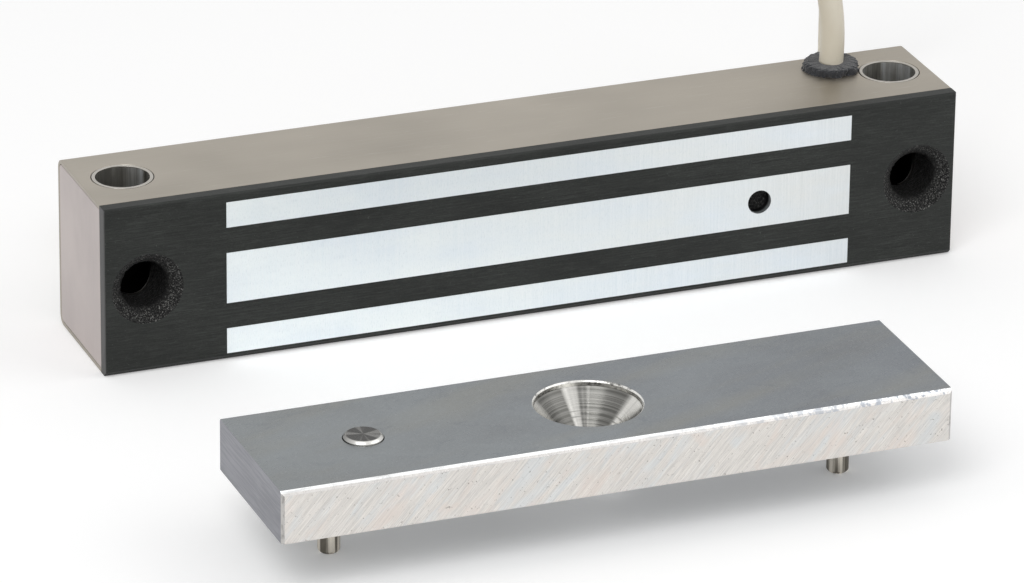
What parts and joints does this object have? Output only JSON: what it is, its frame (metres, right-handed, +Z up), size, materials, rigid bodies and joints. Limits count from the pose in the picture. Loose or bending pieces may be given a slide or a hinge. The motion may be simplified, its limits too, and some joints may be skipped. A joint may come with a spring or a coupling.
{
  "type": "electromagnetic door holder",
  "caption": "Long resin-potted electromagnet in a folded steel channel with upright mounting tubes, and its steel armature plate with dowel pins and a sprung release button.",
  "frame": {"origin": "middle of the housing's underside", "axes": "+X along the housing to its cable end, +Y from the pole faces to the housing's back, +Z up"},
  "size_m": [0.2678, 0.2653, 0.1114],
  "materials": {
    "housing_steel": "brushed lengthwise",
    "end_steel": "satin, worn",
    "tube_steel": "turned",
    "core_steel": "surface ground",
    "former_plastic": "moulded",
    "winding_copper": "enamelled",
    "board": "satin",
    "disc_blue": "dipped",
    "sensor_black": "moulded",
    "bare_copper": "bare",
    "cable_cream": "satin",
    "conductor": "satin",
    "resin": "cast, front ground flat",
    "washer_felt": "felt",
    "armature_steel": "zinc plated",
    "pin_steel": "turned",
    "spring_steel": "drawn wire",
    "tie_fabric": "woven hook and loop"
  },
  "bodies": {
    "magnet_and_plate": {"housing_channel": "housing_steel", "end_plate_left": "end_steel", "end_plate_right": "end_steel", "mounting_tube_left": "tube_steel", "mounting_tube_right": "tube_steel", "core_laminations": "core_steel", "coil_former": "former_plastic", "coil_winding": "winding_copper", "coil_leads": "winding_copper", "circuit_board": "board", "surge_suppressor": "disc_blue", "bond_sensor": "sensor_black", "sensor_leads": "bare_copper", "cable_stub": "cable_cream", "cable_conductors": "conductor", "resin_block": "resin", "cable_washer": "washer_felt", "armature_plate": "armature_steel", "dowel_pin_left": "pin_steel", "dowel_pin_right": "pin_steel", "button_spring": "spring_steel", "cable_hank": "cable_cream", "cable_tie": "tie_fabric", "cable_run": "cable_cream", "cable_end": "cable_cream", "conductor_tails": "conductor", "copper_ends": "bare_copper"},
    "button": {"release_button": "pin_steel", "button_screw": "pin_steel"}
  },
  "joints": [
    {"name": "button_press", "type": "slide", "parent": "magnet_and_plate", "child": "button", "axis": [0, 0, 1], "range_m": [-0.001, 0], "stiffness_N_per_m": 1500, "springref_m": 0.0015, "deforming": ["button_spring"]}
  ]
}
